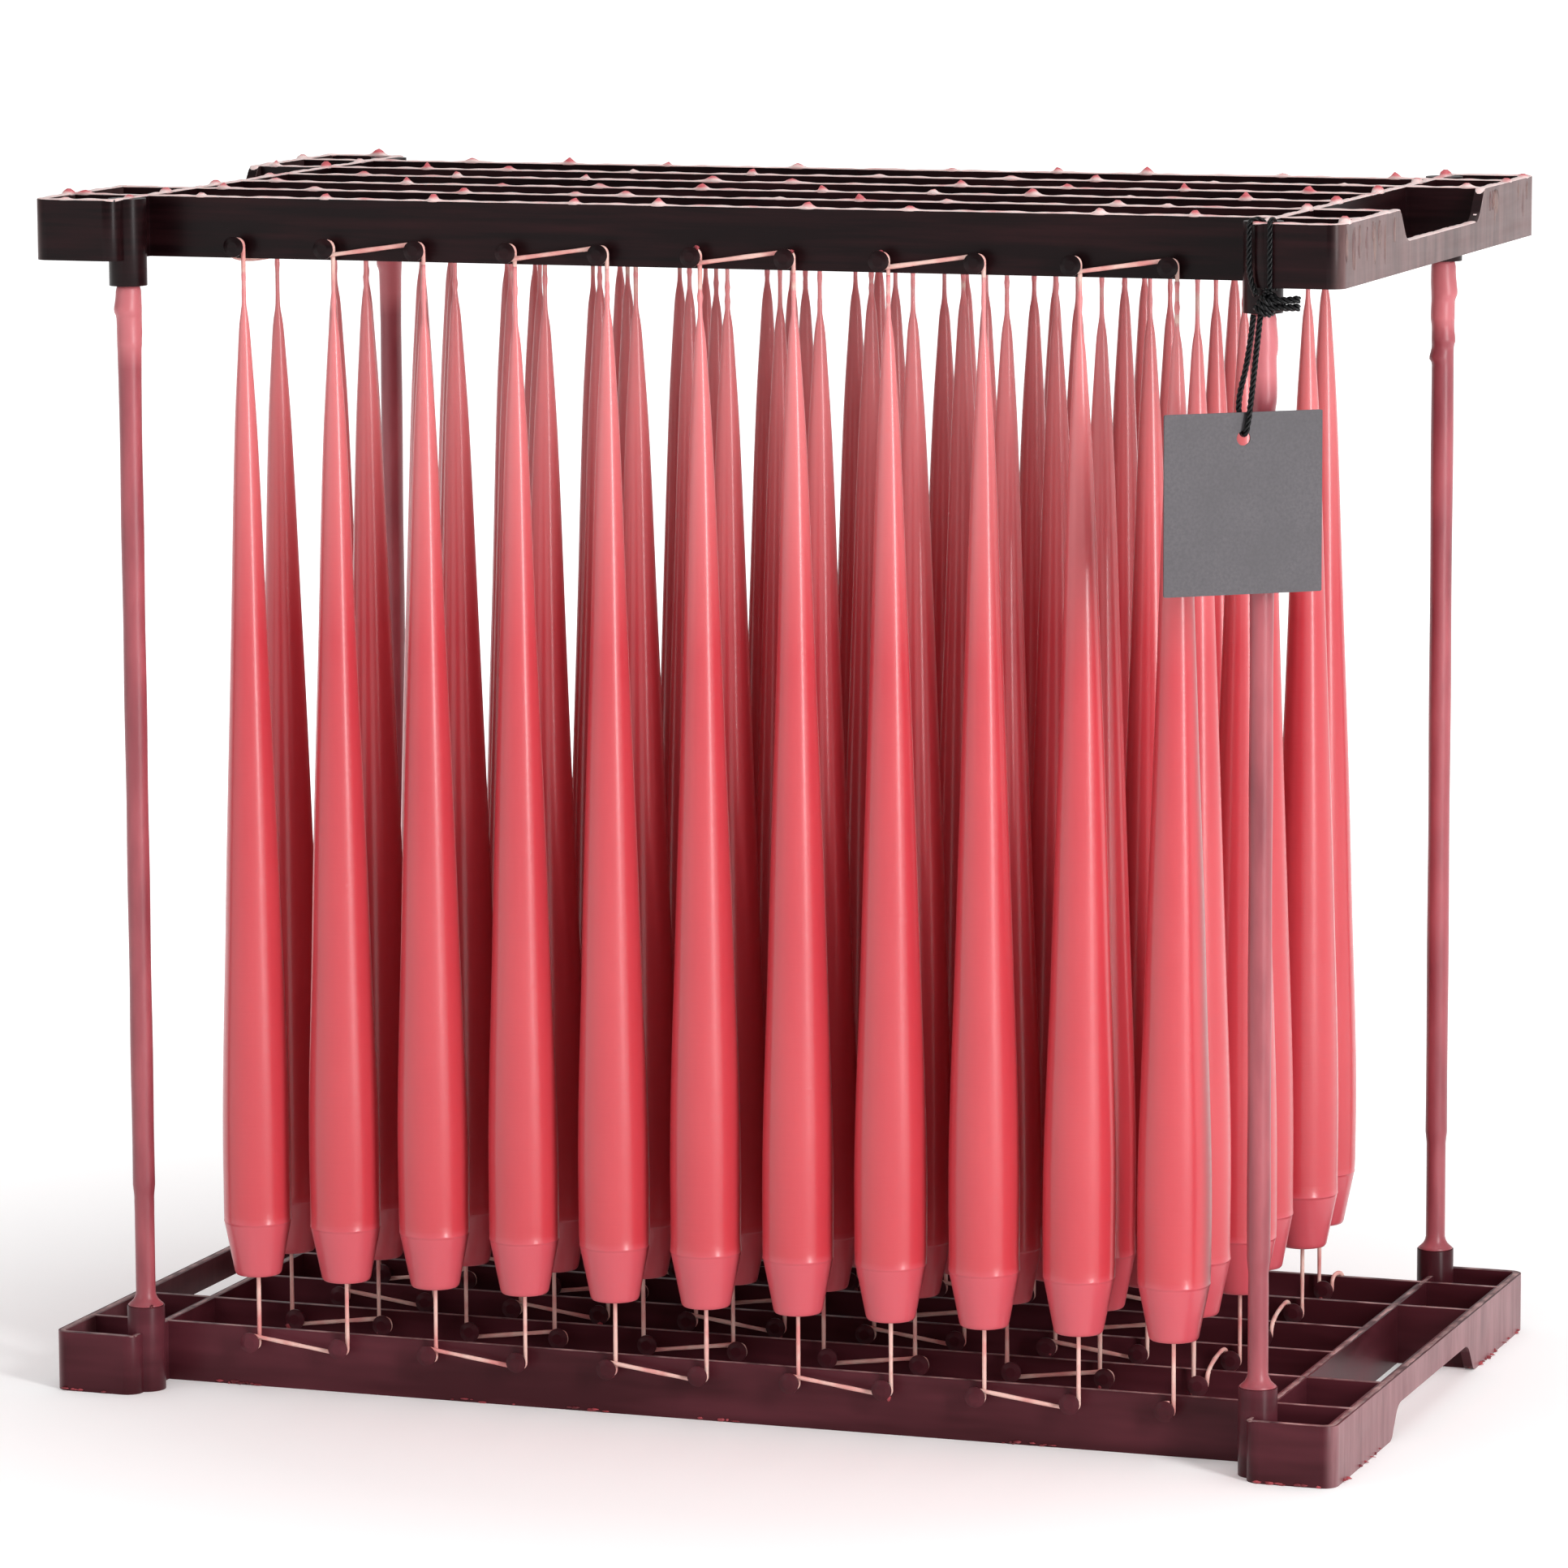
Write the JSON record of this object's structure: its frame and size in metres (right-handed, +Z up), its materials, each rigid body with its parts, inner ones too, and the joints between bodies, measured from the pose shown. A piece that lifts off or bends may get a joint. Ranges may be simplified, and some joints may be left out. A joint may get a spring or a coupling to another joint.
{
  "type": "candle dipping rack",
  "caption": "Open upright rack of two lattice frames on rods, with rows of hand-dipped taper candles hanging on a continuous wick and a blank hang tag.",
  "frame": {"origin": "centre of the rack's footprint, on the table that it stands on", "axes": "+X along the rack towards the end with the hang tag, +Y from front to back, +Z up"},
  "size_m": [0.445, 0.2669, 0.4021],
  "materials": {
    "moulded_plastic": "injection moulded, dark, with a waxy film",
    "rod_steel": "drawn",
    "rod_wax": "thin wax coat",
    "candle_wax": "satin dipped wax",
    "wick_cotton": "braided cotton, waxed",
    "tag_card": "coated card, blank",
    "tag_cord": "twisted cord"
  },
  "bodies": {
    "rack": {"bottom_frame": "moulded_plastic", "candle_pair_row_1_10_11": "candle_wax", "candle_pair_row_1_2_3": "candle_wax", "candle_pair_row_1_4_5": "candle_wax", "candle_pair_row_1_6_7": "candle_wax", "candle_pair_row_1_8_9": "candle_wax", "candle_pair_row_2_10_11": "candle_wax", "candle_pair_row_2_2_3": "candle_wax", "candle_pair_row_2_4_5": "candle_wax", "candle_pair_row_2_6_7": "candle_wax", "candle_pair_row_2_8_9": "candle_wax", "candle_pair_row_3_10_11": "candle_wax", "candle_pair_row_3_2_3": "candle_wax", "candle_pair_row_3_4_5": "candle_wax", "candle_pair_row_3_6_7": "candle_wax", "candle_pair_row_3_8_9": "candle_wax", "candle_pair_row_4_10_11": "candle_wax", "candle_pair_row_4_2_3": "candle_wax", "candle_pair_row_4_4_5": "candle_wax", "candle_pair_row_4_6_7": "candle_wax", "candle_pair_row_4_8_9": "candle_wax", "candle_pair_row_5_10_11": "candle_wax", "candle_pair_row_5_2_3": "candle_wax", "candle_pair_row_5_4_5": "candle_wax", "candle_pair_row_5_6_7": "candle_wax", "candle_pair_row_5_8_9": "candle_wax", "candle_pair_row_6_10_11": "candle_wax", "candle_pair_row_6_2_3": "candle_wax", "candle_pair_row_6_4_5": "candle_wax", "candle_pair_row_6_6_7": "candle_wax", "candle_pair_row_6_8_9": "candle_wax", "candle_pair_turn_1_2": "candle_wax", "candle_pair_turn_3_4": "candle_wax", "candle_pair_turn_5_6": "candle_wax", "rod_back_left": "rod_steel", "rod_back_right": "rod_steel", "rod_front_left": "rod_steel", "rod_front_right": "rod_steel", "rod_wax_back_left": "rod_wax", "rod_wax_back_right": "rod_wax", "rod_wax_front_left": "rod_wax", "rod_wax_front_right": "rod_wax", "tag_cord_loop": "tag_cord", "top_frame": "moulded_plastic", "wick": "wick_cotton"},
    "knot": {"tag_knot": "tag_cord"},
    "tag": {"tag_cord_drop": "tag_cord", "hang_tag": "tag_card"}
  },
  "joints": [
    {"name": "tag_swing", "type": "hinge", "parent": "rack", "child": "knot", "pos_m": [0.1992, -0.126, 0.3752], "axis": [-1, 0, 0], "range_deg": [0, 70]},
    {"name": "tag_twist", "type": "hinge", "parent": "knot", "child": "tag", "pos_m": [0.1915, -0.126, 0.3333], "axis": [0.1093, 0, 0.994], "range_deg": [-110, 18]}
  ]
}
